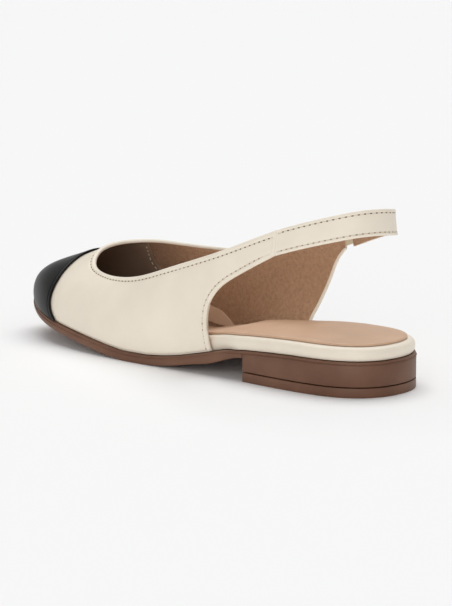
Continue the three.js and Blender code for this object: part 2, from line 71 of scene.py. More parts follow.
# Sizes of the upper, strap and toe cap
WALL = 0.0018
LEATHER = 0.001
STRAP_WIDTH = 0.0124
STRAP_WALL = 0.0021
STRAP_LEATHER = 0.0012
STRAP_RISE = 0.0001  # how far its leather stands proud of the upper
ELASTIC_WIDTH = 0.0106
ELASTIC_WALL = 0.0012
ELASTIC_SUNK = 0.0003
ELASTIC_RIB = 0.0013
JOINT_WIDTH = 0.0034
CAP_WALL = 0.001
NAP_LINING = 0.0008
LINING_INSET = 0.0012
SMOOTH_LINING = 0.0005
LAP = 0.00002  # how far glued layers run into each other
SEAT_GAP = 0.0003
BUTT_GAP = 0.0003
CAP_GAP = 0.00035
CAP_LIFT = 0.02

# Where the strap meets the upper, as shares of the shoe's length
OUTER_JOINT = 0.216
INNER_JOINT = 0.208
ELASTIC_END = 0.23

# Seams: what one stitch measures, and how far each row runs from its edge
STITCH_PITCH = 0.003
STITCH_LENGTH = 0.0019
THREAD_WIDTH = 0.00042
THREAD_DEPTH = 0.0003
# Sizes of the dark beads that paint the shade inside each needle hole
HOLE_LENGTH = 0.0012
HOLE_WIDTH = 0.00066
HOLE_DEPTH = 0.0002
SEAM_END = 0.001  # bare length at each end of a seam
TOPLINE_SEAM = 0.0027
REAR_SEAM = 0.0023
TOPLINE_SEAM_SUNK = 0.0001
REAR_SEAM_SUNK = 0.00008
STRAP_TOP_SEAM = 0.0017
STRAP_FOOT_SEAM = 0.0016

# Rows and columns of the meshes; the edge rows are distances from an edge
EDGE_ROWS = [
    0, 0.0001, 0.00025, 0.00045, 0.0007, 0.001, 0.00135,
    0.0018, 0.0023, 0.0028, 0.0033, 0.0039, 0.0047, 0.0057,
]
UPPER_ROWS = 34
BAND_ROWS = 10
CAP_ROWS = 26
EDGE_COUNT = 48  # columns along each rear edge of the upper
SOLE_ROW = 0.002  # spacing of the rows of the sole pieces

# Ribs of the shoe's form, from the back centre along the outer side to the toe and back
# along the inner side. Across is a share of the ball width, along of the shoe's length,
# height of the back height; the last four columns are shares of the rib handle.
RIB_COLUMNS = ("foot_x", "foot_y", "head_x", "head_y", "head_z", "rise", "bulge", "spread", "drop")
RIBS = [
    (0.0, 0.006, 0.0, 0.042, 1.003, 1.0, 0.05, 0.02, 1.0),
    (-0.214, 0.024, -0.156, 0.056, 1.005, 1.0, 0.05, 0.02, 1.0),
    (-0.343, 0.08, -0.266, 0.092, 0.98, 1.0, 0.05, 0.04, 1.0),
    (-0.382, 0.159, -0.327, 0.149, 0.933, 1.0, 0.05, 0.05, 1.0),
    (-0.384, 0.239, -0.361, 0.213, 0.874, 1.0, 0.05, 0.06, 1.0),
    (-0.377, 0.319, -0.382, 0.279, 0.801, 0.9, 0.08, 0.08, 0.9),
    (-0.384, 0.398, -0.39, 0.351, 0.72, 0.8, 0.1, 0.1, 0.8),
    (-0.405, 0.486, -0.387, 0.43, 0.641, 0.7, 0.12, 0.12, 0.7),
    (-0.415, 0.574, -0.364, 0.51, 0.565, 0.6, 0.12, 0.18, 0.6),
    (-0.41, 0.661, -0.322, 0.59, 0.495, 0.55, 0.12, 0.26, 0.5),
    (-0.382, 0.745, -0.26, 0.669, 0.459, 0.5, 0.12, 0.38, 0.4),
    (-0.32, 0.838, -0.169, 0.741, 0.454, 0.56, 0.12, 0.6, 0.36),
    (-0.198, 0.923, -0.088, 0.786, 0.483, 0.68, 0.13, 0.78, 0.42),
    (0.045, 0.995, 0.034, 0.81, 0.54, 0.8, 0.14, 1.0, 0.46),
    (0.28, 0.97, 0.172, 0.807, 0.576, 0.76, 0.14, 0.85, 0.45),
    (0.43, 0.892, 0.281, 0.779, 0.592, 0.66, 0.13, 0.65, 0.43),
    (0.508, 0.811, 0.351, 0.728, 0.599, 0.6, 0.12, 0.5, 0.45),
    (0.541, 0.725, 0.396, 0.66, 0.593, 0.65, 0.12, 0.4, 0.55),
    (0.527, 0.637, 0.416, 0.588, 0.592, 0.7, 0.12, 0.3, 0.65),
    (0.462, 0.546, 0.416, 0.516, 0.6, 0.75, 0.12, 0.2, 0.7),
    (0.365, 0.454, 0.404, 0.442, 0.633, 0.8, 0.22, 0.2, 0.75),
    (0.315, 0.371, 0.388, 0.367, 0.69, 0.85, 0.34, 0.24, 0.8),
    (0.325, 0.291, 0.37, 0.291, 0.765, 0.9, 0.4, 0.24, 0.9),
    (0.358, 0.211, 0.35, 0.219, 0.843, 1.0, 0.3, 0.12, 1.0),
    (0.369, 0.143, 0.317, 0.157, 0.91, 1.0, 0.05, 0.05, 1.0),
    (0.338, 0.076, 0.255, 0.1, 0.962, 1.0, 0.05, 0.04, 1.0),
    (0.208, 0.024, 0.148, 0.057, 0.985, 1.0, 0.05, 0.02, 1.0),
]
RIB_COUNT = len(RIBS)
TOE_RIB = 13

# Underside of the outsole: share of the shoe's length, share of the heel rise
UNDERSIDE = [
    (0.0, 0.72), (0.29, 0.686), (0.305, 0.665), (0.328, 0.59), (0.351, 0.475), (0.375, 0.362),
    (0.4, 0.292), (0.425, 0.235), (0.45, 0.165), (0.486, 0.085), (0.53, 0.018), (0.55, 0.0),
    (0.6, 0.0), (0.635, 0.045), (0.689, 0.145), (0.749, 0.265), (0.845, 0.487), (0.936, 0.785),
    (1.0, 1.06),
]

# Share of the outsole's thickness and share of the footbed's height along the shoe
SOLE_TAPER = [
    (0.0, 0.98), (0.16, 0.98), (0.23, 0.86), (0.28, 0.7), (0.303, 0.64), (0.327, 0.8), (0.351, 1.08),
    (0.375, 1.24), (0.4, 1.2), (0.425, 1.13), (0.5, 1.08), (0.72, 1.05), (0.86, 0.86), (1.0, 0.52),
]
FOOTBED_TAPER = [
    (0.0, 1.0), (0.28, 1.03), (0.33, 1.06), (0.375, 1.2), (0.4, 1.28), (0.455, 1.1), (0.5, 1.0),
    (0.55, 0.72), (0.575, 0.47), (0.6, 0.32), (0.65, 0.25), (1.0, 0.22),
]

# Rear edges of the upper from the strap down: share of the length, share of the back height
OUTER_REAR_EDGE = [
    (0.263, 0.66), (0.304, 0.595), (0.339, 0.533), (0.363, 0.468),
    (0.378, 0.396), (0.384, 0.322), (0.385, 0.25), (0.379, 0.0),
]
INNER_REAR_EDGE = [
    (0.241, 0.66), (0.257, 0.605), (0.27, 0.535), (0.281, 0.465),
    (0.292, 0.395), (0.302, 0.325), (0.311, 0.255), (0.316, 0.0),
]

# Rear edge of the toe cap: station on the rib list, share of the way up the rib
CAP_EDGE = [
    (10.8, 0.0), (11.08, 0.15), (11.38, 0.33), (11.72, 0.5), (12.13, 0.64),
    (12.64, 0.765), (13.26, 0.82), (13.9, 0.78), (14.45, 0.64), (14.95, 0.47),
    (15.35, 0.28), (15.6, 0.12), (15.7, 0.0),
]

# Creases of the upper: station and share at both ends, half width and height in metres
CREASES = [
    (9.4, 0.16, 10.6, 0.42, 0.0045, -0.00022),
    (8.7, 0.12, 9.9, 0.36, 0.005, 0.00016),
    (7.6, 0.22, 8.4, 0.7, 0.006, -0.00018),
    (6.4, 0.5, 7.2, 0.86, 0.005, 0.00012),
    (16.6, 0.18, 17.2, 0.5, 0.0045, -0.00022),
    (17.6, 0.16, 18.4, 0.46, 0.005, 0.00018),
    (19.4, 0.3, 20.2, 0.62, 0.006, -0.0003),
    (21.0, 0.42, 21.6, 0.72, 0.005, -0.0002),
    (11.5, 0.82, 12.1, 0.7, 0.004, -0.00014),
    (15.4, 0.84, 15.0, 0.7, 0.004, -0.00014),
]

# Rear edge of the smooth forepart lining: station and share of the way up the rib, from
# the inner topline down to the sole and up the outer side again
INNER_LINING_EDGE = [
    (15.5, 1.0), (15.61, 0.84), (15.8, 0.67), (16.2, 0.52), (17.0, 0.37),
    (17.95, 0.274), (18.35, 0.257), (18.77, 0.17), (19.12, 0.08),
]
OUTER_LINING_EDGE = [
    (10.6, 1.0), (10.5, 0.84), (10.3, 0.67), (9.9, 0.52), (9.1, 0.37),
    (8.1, 0.274), (7.7, 0.257), (7.25, 0.17), (6.9, 0.08),
]
LINING_SEAM_GAP = 0.16  # stations in front of the edge

# Camera: where it stands, the way it looks and its lens
CAMERA_PLACE = (-0.853341, -0.710573, 0.236754)
CAMERA_TURN = 47.36  # degrees from +Y towards +X
CAMERA_DIP = 10.12  # degrees below the horizon
CAMERA_LENS = 141


# The shoe's form
def spline(values, closed):
    """Cubic spline through evenly counted values."""
    values = np.asarray(values, float)
    count = len(values)
    system = 4 * np.eye(count) + np.eye(count, k=1) + np.eye(count, k=-1)
    curve = np.roll(values, -1) - 2 * values + np.roll(values, 1)
    if closed:
        system[0, -1] = system[-1, 0] = 1
    else:
        system[0], system[-1] = np.eye(count)[0], np.eye(count)[-1]
        curve[0] = curve[-1] = 0
    bend = np.linalg.solve(system, 6 * curve)
    last = count if closed else count - 1

    def at(place):
        place = np.mod(place, count) if closed else np.clip(place, 0, last)
        i = np.minimum(np.floor(place).astype(int), last - 1)
        j = (i + 1) % count
        t = place - i
        s = 1 - t
        return values[i] * s + values[j] * t + ((s**3 - s) * bend[i] + (t**3 - t) * bend[j]) / 6

    return at


def level(rows):
    """Smooth level through a table without overshoot, so that flats stay flat."""
    x = np.array([row[0] for row in rows]) * SHOE_LENGTH
    y = np.array([row[1] for row in rows])
    slope = np.diff(y) / np.diff(x)
    product = slope[:-1] * slope[1:]
    total = slope[:-1] + slope[1:]
    inner = np.where(product > 0, 2 * product / np.where(total == 0, 1, total), 0)
    tangent = np.concatenate([slope[:1], inner, slope[-1:]])

    def at(place):
        place = np.asarray(place, float)
        i = np.clip(np.searchsorted(x, place) - 1, 0, len(x) - 2)
        h = x[i + 1] - x[i]
        t = np.clip((place - x[i]) / h, 0, 1)
        s = 1 - t
        ends = (1 + 2 * t) * s * s * y[i] + t * t * (3 - 2 * t) * y[i + 1]
        inside = ends + t * s * h * (s * tangent[i] - t * tangent[i + 1])
        before = np.minimum(place - x[0], 0) * tangent[0]
        return inside + before + np.maximum(place - x[-1], 0) * tangent[-1]

    return at


def ease(t):
    """Smooth step from zero to one."""
    t = np.clip(t, 0, 1)
    return t * t * (3 - 2 * t)


UNITS = {"x": BALL_WIDTH, "y": SHOE_LENGTH, "z": BACK_HEIGHT}
RIB = {
    key: spline([row[k] * UNITS.get(key[-1] if "_" in key else "", RIB_HANDLE) for row in RIBS], True)
    for k, key in enumerate(RIB_COLUMNS)
}
underside_share = level(UNDERSIDE)
sole_taper = level(SOLE_TAPER)
footbed_share = level(FOOTBED_TAPER)


def sole_bottom(y):
    return underside_share(y) * HEEL_RISE


def sole_top(y):
    heel_share = 1 - ease((y - HEEL_LENGTH) / (0.2 * SHOE_LENGTH))
    step = HEEL_RISE - sole_bottom(0) - OUTSOLE_THICKNESS * sole_taper(0)
    return sole_bottom(y) + OUTSOLE_THICKNESS * sole_taper(y) + step * heel_share


def outward(u, end):
    """Outward direction in plan of the curve of rib feet or rib heads."""
    dx = RIB[end + "_x"](u + 0.02) - RIB[end + "_x"](u - 0.02)
    dy = RIB[end + "_y"](u + 0.02) - RIB[end + "_y"](u - 0.02)
    size = np.hypot(dx, dy)
    return -dy / size, dx / size


def form(u, v):
    """Point of the shoe's outer form at station u, share v of the way up the rib."""
    foot = np.stack([RIB["foot_x"](u), RIB["foot_y"](u), sole_top(RIB["foot_y"](u)) + SEAT_GAP], -1)
    head = np.stack([RIB["head_x"](u), RIB["head_y"](u), RIB["head_z"](u)], -1)
    foot_x, foot_y = outward(u, "foot")
    head_x, head_y = outward(u, "head")
    bulge, spread = RIB["bulge"](u), RIB["spread"](u)
    low = foot + np.stack([foot_x * bulge, foot_y * bulge, RIB["rise"](u)], -1)
    high = head + np.stack([head_x * spread, head_y * spread, -RIB["drop"](u)], -1)
    v = np.asarray(v)[..., None]
    s = 1 - v
    return s**3 * foot + 3 * s * s * v * low + 3 * s * v * v * high + v**3 * head


def form_normal(u, v):
    """Outward direction of the form."""
    up = form(u, np.minimum(v + 0.01, 1)) - form(u, np.maximum(v - 0.01, 0))
    along = form(u + 0.01, v) - form(u - 0.01, v)
    normal = np.cross(up, along)
    return normal / np.linalg.norm(normal, axis=-1, keepdims=True)


def off_form(u, v, distance):
    return form(u, v) + form_normal(u, v) * np.asarray(distance)[..., None]


def reach(rising, target, low, high):
    """Place between low and high at which a rising function reaches a target."""
    low = np.broadcast_to(np.asarray(low, float), np.shape(target)).copy()
    high = np.broadcast_to(np.asarray(high, float), np.shape(target)).copy()
    for _ in range(40):
        middle = (low + high) / 2
        short = rising(middle) < target
        low = np.where(short, middle, low)
        high = np.where(short, high, middle)
    return (low + high) / 2


def band_foot(u, band_width):
    """Share of the rib at which a band under the upper edge ends."""
    head = form(u, np.ones_like(u))
    width = np.full(np.shape(u), -band_width)
    return reach(lambda v: -np.linalg.norm(head - form(u, v), axis=-1), width, 0.2, 1)


def station(end, y, side):
    """Station of the outer or inner side where the upper edge or the foot line has a length."""
    curve = RIB[end + "_y"]
    if side == "outer":
        return float(reach(curve, np.array(y), 0.5, TOE_RIB - 1))
    return float(reach(lambda u: -curve(u), -np.array(y), TOE_RIB + 2, RIB_COUNT - 0.5))


def find_on_form(y, z, u, v):
    """Station and share of the point of the form at a given length and height."""
    step = 0.001
    for _ in range(8):
        here, by_u, by_v = form(np.array([u, u + step, u]), np.array([v, v, v + step]))
        a, b = (by_u[1] - here[1]) / step, (by_v[1] - here[1]) / step
        c, d = (by_u[2] - here[2]) / step, (by_v[2] - here[2]) / step
        det = a * d - b * c
        miss_y, miss_z = y - here[1], z - here[2]
        u += (d * miss_y - b * miss_z) / det
        v = min(max(v + (a * miss_z - c * miss_y) / det, 0), 1)
    return u, v


# Grids on the form: two arrays, station and share, with one column per step along the
# piece and rows from its lower to its upper edge
def rear_edge(rows, side, u, v, count):
    """Points of one edge of the cut-out, from the strap to the sole."""
    first = form(np.array(u), np.array(v))
    foot_u = station("foot", rows[-1][0] * SHOE_LENGTH, side)
    along = [first[1]] + [row[0] * SHOE_LENGTH for row in rows]
    height = [first[2]] + [row[1] * BACK_HEIGHT for row in rows[:-1]]
    height.append(form(np.array(foot_u), np.array(0.0))[2])
    along_at, height_at = spline(along, False), spline(height, False)
    points = [(u, v)]
    for i in range(1, count):
        at = (len(along) - 1) * i / count
        u, v = find_on_form(float(along_at(at)), float(height_at(at)), u, v)
        points.append((u, v))
    return points + [(foot_u, 0.0)]


def run_length(points):
    """Running length along a line of points."""
    steps = np.linalg.norm(np.diff(points, axis=0), axis=-1)
    return np.concatenate([[0], np.cumsum(steps)])


def upper_ends(sole_count=300):
    """Lower and upper ends of the upper's columns."""
    outer_u = station("head", OUTER_JOINT * SHOE_LENGTH + BUTT_GAP / 2, "outer")
    inner_u = station("head", ELASTIC_END * SHOE_LENGTH + BUTT_GAP / 2, "inner")
    outer_v, inner_v = band_foot(np.array([outer_u, inner_u]), STRAP_WIDTH)
    outer = rear_edge(OUTER_REAR_EDGE, "outer", outer_u, outer_v, EDGE_COUNT)
    inner = rear_edge(INNER_REAR_EDGE, "inner", inner_u, inner_v, EDGE_COUNT)
    sole = [(u, 0.0) for u in np.linspace(outer[-1][0], inner[-1][0], sole_count + 1)[1:-1]]
    feet = np.array(outer + sole + inner[::-1])
    run = run_length(form(feet[:, 0], feet[:, 1]))
    fine_u = np.linspace(outer_u, inner_u, 1200)
    head_run = run_length(form(fine_u, np.ones_like(fine_u)))
    head_u = np.interp(run / run[-1] * head_run[-1], head_run, fine_u)
    return feet, np.stack([head_u, np.ones_like(head_u)], -1)


def grid_between(feet, heads, low, high, middle):
    """Grid whose rows stand at given distances from both edges and evenly between."""
    fine = np.linspace(0, 1, 80)
    shares = np.empty((len(feet), len(low) + middle + len(high)))
    for i, (foot, head) in enumerate(zip(feet, heads)):
        line = foot + (head - foot) * fine[:, None]
        run = run_length(form(line[:, 0], line[:, 1]))
        total = run[-1]
        squeeze = min(1, 0.9 * total / (low[-1] + high[-1]))
        near, far = np.array(low) * squeeze, total - np.array(high)[::-1] * squeeze
        between = np.linspace(near[-1], far[0], middle + 2)[1:-1]
        shares[i] = np.interp(np.concatenate([near, between, far]), run, fine)
    ends = heads - feet
    return (feet[:, :1] + ends[:, :1] * shares, feet[:, 1:] + ends[:, 1:] * shares)


def distance_to(points, line):
    """Distance of every point from a line of points."""
    flat = points.reshape(-1, 3)
    start, span = line[:-1], np.diff(line, axis=0)
    size = np.maximum((span**2).sum(-1), 1e-18)
    nearest = np.empty(len(flat))
    for i in range(0, len(flat), 4000):
        part = flat[i : i + 4000, None] - start
        t = np.clip((part * span).sum(-1) / size, 0, 1)
        nearest[i : i + 4000] = np.sqrt(((part - t[..., None] * span) ** 2).sum(-1)).min(-1)
    return nearest.reshape(points.shape[:-1])


def distance_to_edges(points, *lines):
    """Distance of every point from the nearest of several lines of points."""
    return np.min([distance_to(points, line) for line in lines], axis=0)


def rim_distance(points):
    """Distance of every point of a grid from the grid's own four edges."""
    return distance_to_edges(points, points[:, 0], points[:, -1], points[0], points[-1])


def rounded(distance, radius):
    """How far an edge of the given radius has fallen back at a distance from its end."""
    t = 1 - np.clip(distance / radius, 0, 1)
    return radius * (1 - np.sqrt(np.maximum(1 - t * t, 0)))


def ridge(distance, centre, width):
    """One at the centre of a ridge or groove, falling smoothly to zero at its width."""
    return ease(1 - np.abs(distance - centre) / width)


# Meshes
def mesh_of_grid(name, points):
    """A plain grid laid on the points, rows by columns."""
    columns, rows = points.shape[:2]
    bpy.ops.mesh.primitive_grid_add(x_subdivisions=rows - 1, y_subdivisions=columns - 1, size=SHOE_LENGTH)
    piece = bpy.context.object
    piece.name = name
    places = points.reshape(-1, 3) - (0, HEEL_LENGTH / 2, 0)
    piece.data.vertices.foreach_set("co", places.ravel())
    piece.data.update()
    return piece


def close_up(piece, sharp_angle=math.radians(50)):
    """Merge the grid's shared points, turn its faces outward and smooth it."""
    bpy.ops.object.mode_set(mode="EDIT")
    bpy.ops.mesh.select_all(action="SELECT")
    bpy.ops.mesh.remove_doubles(threshold=0.000001)
    bpy.ops.mesh.normals_make_consistent(inside=False)
    bpy.ops.object.mode_set(mode="OBJECT")
    bpy.ops.object.shade_smooth_by_angle(angle=sharp_angle)
    while piece.data.uv_layers:
        piece.data.uv_layers.remove(piece.data.uv_layers[0])
    bpy.ops.object.select_all(action="DESELECT")
    return piece


def joined(name, pieces):
    """Several meshes made one piece."""
    bpy.ops.object.select_all(action="DESELECT")
    for piece in pieces:
        piece.select_set(True)
    bpy.context.view_layer.objects.active = pieces[0]
    bpy.ops.object.join()
    piece = bpy.context.object
    piece.name = name
    return piece


def finish_piece(piece, finish, slot, *nodes):
    """Give a piece its finish, its body and the nodes that it stands for; its slot is not used."""
    bpy.ops.object.select_all(action="DESELECT")
    bpy.context.view_layer.objects.active = piece
    piece.select_set(True)
    bpy.ops.object.transform_apply(location=True, rotation=True, scale=True)
    bpy.ops.object.select_all(action="DESELECT")
    piece.data.materials.clear()
    piece.data.materials.append(finish)
    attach(piece, "root")
    if nodes:
        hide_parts(*nodes)
    return piece


def shell(name, u, v, outer, inner):
    """Closed wall between two offsets of the form that meet at its edges."""
    outside = off_form(u, v, outer)
    inside = off_form(u, v, inner)
    points = np.concatenate([outside, inside[:, -2::-1]], axis=1)
    return close_up(mesh_of_grid(name, points))


def slab(name, layers, front, middle_rows, across=8, end_rows=22):
    """Flat piece cut to the sole's outline. Each layer has an inset and a height rule."""
    fine = np.linspace(0, RIB_COUNT, 2701)
    base_x, base_y = RIB["foot_x"](fine), RIB["foot_y"](fine)
    out_x, out_y = outward(fine, "foot")
    least = min(np.min(inset(fine)) if callable(inset) else inset for inset, _ in layers)
    sheets = []
    for inset, height in layers:
        inset = inset(fine) if callable(inset) else np.full(len(fine), inset)
        x = base_x + out_x * (SOLE_MARGIN - inset)
        y = base_y + out_y * (SOLE_MARGIN - inset)
        toe = int(np.argmax(y))
        back = int(np.argmin(np.where(fine < 5, y, 1)))
        wrapped = int(np.argmin(np.where(fine > 20, y, 1)))
        if y[wrapped] < y[back]:
            x, y = np.roll(x[:-1], len(x) - 1 - wrapped), np.roll(y[:-1], len(y) - 1 - wrapped)
            toe, back = int(np.argmax(y)), 0
            x, y = np.append(x, x[0]), np.append(y, y[0])
        wave = 1 - np.cos(np.pi / 2 * np.arange(end_rows) / end_rows)
        lengths = [y[back] + (END_ZONE - y[back]) * wave, [END_ZONE], middle_rows]
        if front is None:
            start = SHOE_LENGTH - END_ZONE
            lengths += [[start], (y[toe] - (y[toe] - start) * wave)[::-1]]
        else:
            lengths.append([front - (inset[0] - least)])
        lengths = np.concatenate(lengths)
        outer_x = np.interp(lengths, y[back : toe + 1], x[back : toe + 1])
        inner_x = np.interp(lengths, y[toe:][::-1], x[toe:][::-1])
        inner_x[0] = outer_x[0]
        if front is None:
            inner_x[-1] = outer_x[-1]
        shares = np.linspace(0, 1, across + 1)
        sheet = np.empty((len(lengths), across + 1, 3))
        sheet[..., 0] = outer_x[:, None] + (inner_x - outer_x)[:, None] * shares
        sheet[..., 1] = lengths[:, None]
        sheet[..., 2] = height(lengths)[:, None]
        sheets.append(sheet)
    rims = [np.concatenate([s[:, 0], s[-1, 1:-1], s[::-1, -1], s[:1, 0]]) for s in sheets]
    parts = [
        mesh_of_grid(name, np.stack(rims, axis=1)),
        mesh_of_grid(name + "_top", sheets[-1]),
        mesh_of_grid(name + "_under", sheets[0][:, ::-1]),
    ]
    return close_up(joined(name, parts), math.radians(35))


# Materials
def node(tree, kind, inputs=None, **settings):
    """Add a node; a value that is a socket is linked, any other is set."""
    made = tree.nodes.new(kind)
    for key, value in settings.items():
        setattr(made, key, value)
    for key, value in (inputs or {}).items():
        if isinstance(value, bpy.types.NodeSocket):
            tree.links.new(value, made.inputs[key])
        else:
            made.inputs[key].default_value = value
    return made


def tone(red, green, blue):
    """Linear colour of a tone given from 0 to 255."""
    shares = [value / 255 for value in (red, green, blue)]
    return tuple(s / 12.92 if s <= 0.04045 else ((s + 0.055) / 1.055) ** 2.4 for s in shares) + (1,)


def new_group(name, inputs, outputs):
    """Empty node group with named sockets."""
    group = bpy.data.node_groups.new(name, "ShaderNodeTree")
    for label, kind, value in inputs:
        socket = group.interface.new_socket(label, in_out="INPUT", socket_type=kind)
        socket.default_value = value
    for label, kind in outputs:
        group.interface.new_socket(label, in_out="OUTPUT", socket_type=kind)
    return group, group.nodes.new("NodeGroupInput"), group.nodes.new("NodeGroupOutput")


def make_grain():
    """Height of a skin's grain: pebbles with fine pores between them."""
    group, given, out = new_group(
        "skin grain",
        [("Scale", "NodeSocketFloat", 1400), ("Pore", "NodeSocketFloat", 0.3)],
        [("Height", "NodeSocketFloat")],
    )
    place = node(group, "ShaderNodeTexCoord").outputs["Object"]
    bend = node(group, "ShaderNodeTexNoise", {"Vector": place, "Scale": 260, "Detail": 2})
    shifted = node(
        group, "ShaderNodeVectorMath",
        {0: bend.outputs["Color"], 1: (0.0012, 0.0012, 0.0012), 2: place}, operation="MULTIPLY_ADD",
    )
    cells = node(
        group, "ShaderNodeTexVoronoi",
        {"Vector": shifted.outputs[0], "Scale": given.outputs["Scale"], "Smoothness": 0.6},
        feature="SMOOTH_F1",
    )
    fine = node(group, "ShaderNodeTexNoise", {"Vector": place, "Scale": 4200, "Detail": 3})
    pebbles = node(group, "ShaderNodeMath", {0: 1, 1: cells.outputs["Distance"]}, operation="SUBTRACT")
    pores = node(
        group, "ShaderNodeMath",
        {0: fine.outputs["Fac"], 1: given.outputs["Pore"], 2: pebbles.outputs[0]}, operation="MULTIPLY_ADD",
    )
    group.links.new(pores.outputs[0], out.inputs["Height"])
    return group


def make_mottle():
    """Slow change of a colour over the surface, between a lighter and a darker tone."""
    group, given, out = new_group(
        "mottled colour",
        [
            ("Light", "NodeSocketColor", (1, 1, 1, 1)),
            ("Dark", "NodeSocketColor", (0.5, 0.5, 0.5, 1)),
            ("Scale", "NodeSocketFloat", 60),
            ("Sharpness", "NodeSocketFloat", 0.5),
        ],
        [("Color", "NodeSocketColor"), ("Fac", "NodeSocketFloat")],
    )
    place = node(group, "ShaderNodeTexCoord").outputs["Object"]
    clouds = node(
        group, "ShaderNodeTexNoise",
        {
            "Vector": place,
            "Scale": given.outputs["Scale"],
            "Detail": 5,
            "Roughness": given.outputs["Sharpness"],
        },
    )
    spread = node(group, "ShaderNodeMapRange", {0: clouds.outputs["Fac"], 1: 0.3, 2: 0.7})
    mix = node(
        group, "ShaderNodeMix",
        {0: spread.outputs[0], 6: given.outputs["Dark"], 7: given.outputs["Light"]}, data_type="RGBA",
    )
    group.links.new(mix.outputs[2], out.inputs["Color"])
    group.links.new(spread.outputs[0], out.inputs["Fac"])
    return group


GRAIN = make_grain()
MOTTLE = make_mottle()


def painted_shade_toward_toe(tree, colour, start, stop, share):
    """Painted shade: colour that deepens to a share of itself between two lengths of the shoe, so that the
    lining darkens inside the toe where little light reaches.
    """
    place = node(tree, "ShaderNodeSeparateXYZ", {0: node(tree, "ShaderNodeTexCoord").outputs["Object"]})
    # Share of the colour that the painted shade leaves at each length
    depth = node(
        tree, "ShaderNodeMapRange",
        {0: place.outputs["Y"], 1: start, 2: stop, 3: 1, 4: share}, interpolation_type="SMOOTHSTEP",
    )
    painted_shade_colour = node(tree, "ShaderNodeVectorMath", {0: colour, "Scale": depth.outputs[0]}, operation="SCALE")
    return painted_shade_colour.outputs[0]


# Grain of each kind of surface: cells per metre, depth in metres, share of fine pores
SMOOTH_GRAIN = (1500, 0.00003, 0.4)
TIGHT_GRAIN = (1500, 0.00002, 0.4)
NAP_GRAIN = (950, 0.00045, 0.9)
MOULDED_GRAIN = (2600, 0.00003, 0.5)
WEAVE_GRAIN = (2600, 0.00006, 0.5)
THREAD_GRAIN = (3000, 0.00003, 0.5)


def new_finish(name, light, dark, clouds, grain, roughness, toe=None, **shader_values):
    """A skin, cloth or moulded finish: mottled colour, grain bump and varied roughness; toe, when given,
    adds painted shade that darkens the colour toward the toe.
    """
    finish = bpy.data.materials.new(name)
    finish.use_nodes = True
    tree = finish.node_tree
    shader = tree.nodes["Principled BSDF"]
    mottle = node(tree, "ShaderNodeGroup", node_tree=MOTTLE)
    mottle.inputs["Light"].default_value = tone(*light)
    mottle.inputs["Dark"].default_value = tone(*dark)
    mottle.inputs["Scale"].default_value = clouds
    cells, depth, pore = grain
    skin = node(tree, "ShaderNodeGroup", node_tree=GRAIN)
    skin.inputs["Scale"].default_value = cells
    skin.inputs["Pore"].default_value = pore
    height = skin.outputs["Height"]
    bump = node(tree, "ShaderNodeBump", {"Height": height, "Distance": depth, "Strength": 1})
    low, high = roughness
    gloss = node(tree, "ShaderNodeMapRange", {0: mottle.outputs["Fac"], 3: low, 4: high})
    colour = mottle.outputs["Color"]
    # Painted shade: when toe is given, the colour darkens toward the toe
    if toe:
        colour = painted_shade_toward_toe(tree, colour, *toe)
    tree.links.new(colour, shader.inputs["Base Color"])
    tree.links.new(gloss.outputs[0], shader.inputs["Roughness"])
    tree.links.new(bump.outputs[0], shader.inputs["Normal"])
    for key, value in shader_values.items():
        shader.inputs[key.replace("_", " ")].default_value = value
    return finish


# Each finish has its lighter and darker tone, clouds per metre, grain and roughness; the two linings also
# get painted shade toward the toe
CREAM = new_finish(
    "cream smooth leather", (243, 233, 215), (234, 223, 206), 30,
    SMOOTH_GRAIN, (0.42, 0.5), Coat_Weight=0.1,
)
BLACK = new_finish(
    "black smooth leather", (20, 18, 16), (12, 11, 10), 50,
    TIGHT_GRAIN, (0.32, 0.4), Specular_IOR_Level=0.16,
)
# Nap lining: its toe entry paints shade that darkens it toward the toe, to 0.45 of its colour
SUEDE = new_finish(
    "brown nap lining", (206, 165, 132), (184, 145, 113), 560,
    NAP_GRAIN, (0.8, 0.9), toe=(0.112, 0.165, 0.45),
)
# Smooth lining: its toe entry paints shade that darkens it toward the toe, to 0.16 of its colour
TAN = new_finish(
    "tan smooth lining", (246, 212, 182), (238, 202, 172), 60,
    SMOOTH_GRAIN, (0.5, 0.6), toe=(0.118, 0.165, 0.16),
)
SOCK = new_finish(
    "tan sock leather", (212, 176, 146), (202, 166, 136), 60, SMOOTH_GRAIN, (0.5, 0.6),
)
BROWN = new_finish(
    "brown moulded sole", (121, 85, 64), (101, 67, 48), 45,
    MOULDED_GRAIN, (0.42, 0.52), Specular_IOR_Level=0.35,
)
WEAVE = new_finish(
    "beige elastic", (226, 213, 184), (214, 200, 170), 200, WEAVE_GRAIN, (0.7, 0.85),
)
THREAD = new_finish(
    "cream thread", (222, 211, 192), (212, 200, 181), 300, THREAD_GRAIN, (0.6, 0.7),
)
# Dark beads of painted shade where the needle holes are; the faint ones paint a lighter shade
PAINTED_HOLE_SHADE = new_finish(
    "painted hole shade", (116, 92, 70), (98, 77, 57), 300, THREAD_GRAIN, (0.8, 0.9),
)
FAINT_PAINTED_HOLE_SHADE = new_finish(
    "faint painted hole shade", (170, 150, 127), (156, 136, 113), 300, THREAD_GRAIN, (0.8, 0.9),
)


# Seams
def capsule(length, width, depth):
    """Corner places and faces of one long rounded bead."""
    bpy.ops.mesh.primitive_uv_sphere_add(segments=8, ring_count=6, radius=0.5)
    bead = bpy.context.object
    bpy.ops.object.mode_set(mode="EDIT")
    bpy.ops.mesh.select_all(action="SELECT")
    bpy.ops.transform.resize(value=(width * 1.1, width, depth), center_override=(0, 0, 0))
    bpy.ops.object.mode_set(mode="OBJECT")
    corners = np.array([corner.co for corner in bead.data.vertices])
    corners[:, 0] += np.sign(np.round(corners[:, 0], 6)) * (length - width * 1.1) / 2
    faces = [tuple(face.vertices) for face in bead.data.polygons]
    bpy.data.objects.remove(bead)
    return corners, faces


